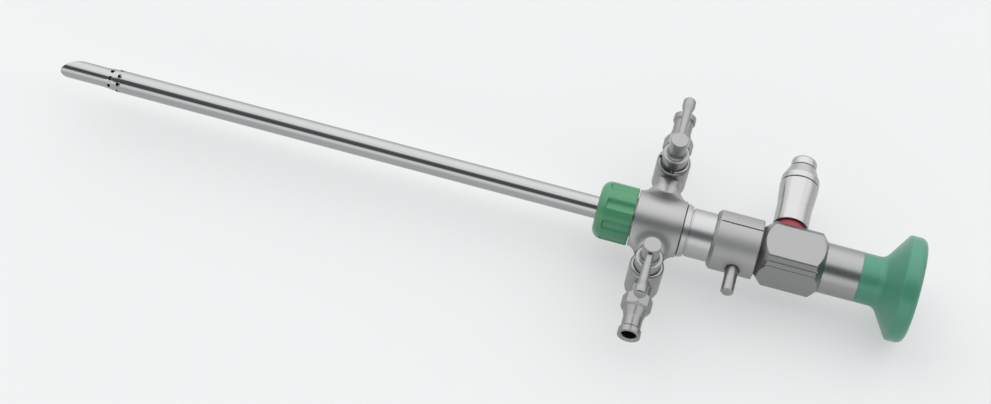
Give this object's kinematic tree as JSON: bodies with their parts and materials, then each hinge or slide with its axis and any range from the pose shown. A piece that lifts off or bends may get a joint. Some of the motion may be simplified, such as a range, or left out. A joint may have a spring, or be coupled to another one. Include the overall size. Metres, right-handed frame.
{
  "type": "arthroscope sheath with telescope",
  "caption": "Surgical irrigation sheath with a turning two-way stopcock hub and a bayonet lock ring, with an oblique-view rod lens telescope, light post and eyepiece seated in it.",
  "frame": {"origin": "centre of the eyepiece rim's cylinder, on the long axis", "axes": "+X along the tube from the tip towards the eyepiece, +Y towards the light post, +Z towards the stopcock levers"},
  "size_m": [0.2573, 0.0782, 0.033],
  "materials": {
    "satin_steel": "satin stainless steel",
    "polished_steel": "polished stainless steel",
    "green_anodised": "satin green anodised",
    "red_anodised": "red anodised",
    "black_metal": "matt black anodised",
    "seal_rubber": "smooth black rubber",
    "optical_glass": "polished clear glass",
    "fibre_glass": "ground and polished fibre ends",
    "spring_steel": "bright spring steel"
  },
  "bodies": {
    "sheath": {"sheath_tube": "satin_steel", "clamp_collar": "green_anodised", "sleeve": "satin_steel", "hub_seals": "seal_rubber", "thrust_ring": "polished_steel", "lock_clip": "spring_steel"},
    "lock": {"lock_ring": "satin_steel", "lock_pin": "polished_steel"},
    "hub": {"irrigation_hub": "satin_steel", "upper_stopcock_body": "satin_steel", "lower_stopcock_body": "satin_steel", "upper_hose_connector": "satin_steel", "lower_hose_connector": "satin_steel"},
    "telescope": {"scope_tube": "satin_steel", "light_fibres": "fibre_glass", "lens_tube": "black_metal", "tip_window": "optical_glass", "rod_lenses": "optical_glass", "lens_spacers": "black_metal", "coupling_spigot": "satin_steel", "bayonet_pin": "polished_steel", "spigot_seal": "seal_rubber", "scope_block": "satin_steel", "light_stem": "polished_steel", "colour_ring": "red_anodised", "wide_adapter": "polished_steel", "tip_adapter": "polished_steel", "post_fibres": "fibre_glass", "ocular_barrel": "satin_steel", "ocular_lenses": "optical_glass", "field_stop": "black_metal", "eyepiece_cup": "green_anodised", "eyepiece_window": "optical_glass", "window_ring": "black_metal"},
    "upper_plug_set": {"upper_plug": "polished_steel", "upper_lever": "polished_steel", "upper_stop_pin": "polished_steel", "upper_plug_spring": "spring_steel", "upper_plug_nut": "satin_steel"},
    "lower_plug_set": {"lower_plug": "polished_steel", "lower_lever": "polished_steel", "lower_stop_pin": "polished_steel", "lower_plug_spring": "spring_steel", "lower_plug_nut": "satin_steel"}
  },
  "joints": [
    {"name": "lock_turn", "type": "hinge", "parent": "sheath", "child": "lock", "pos_m": [-0.0498, 0, 0], "axis": [1, 0, 0], "range_deg": [-40, 0]},
    {"name": "hub_turn", "type": "hinge", "parent": "sheath", "child": "hub", "pos_m": [-0.07311, 0, 0], "axis": [1, 0, 0], "continuous": true},
    {"name": "telescope_slide", "type": "slide", "parent": "sheath", "child": "telescope", "axis": [1, 0, 0], "range_m": [0, 0.202]},
    {"name": "upper_plug_turn", "type": "hinge", "parent": "hub", "child": "upper_plug_set", "pos_m": [-0.07311, 0.01855, 0], "axis": [0, 0, 1], "range_deg": [-90, 0]},
    {"name": "lower_plug_turn", "type": "hinge", "parent": "hub", "child": "lower_plug_set", "pos_m": [-0.07311, -0.01855, 0], "axis": [0, 0, 1], "range_deg": [-90, 0]}
  ]
}
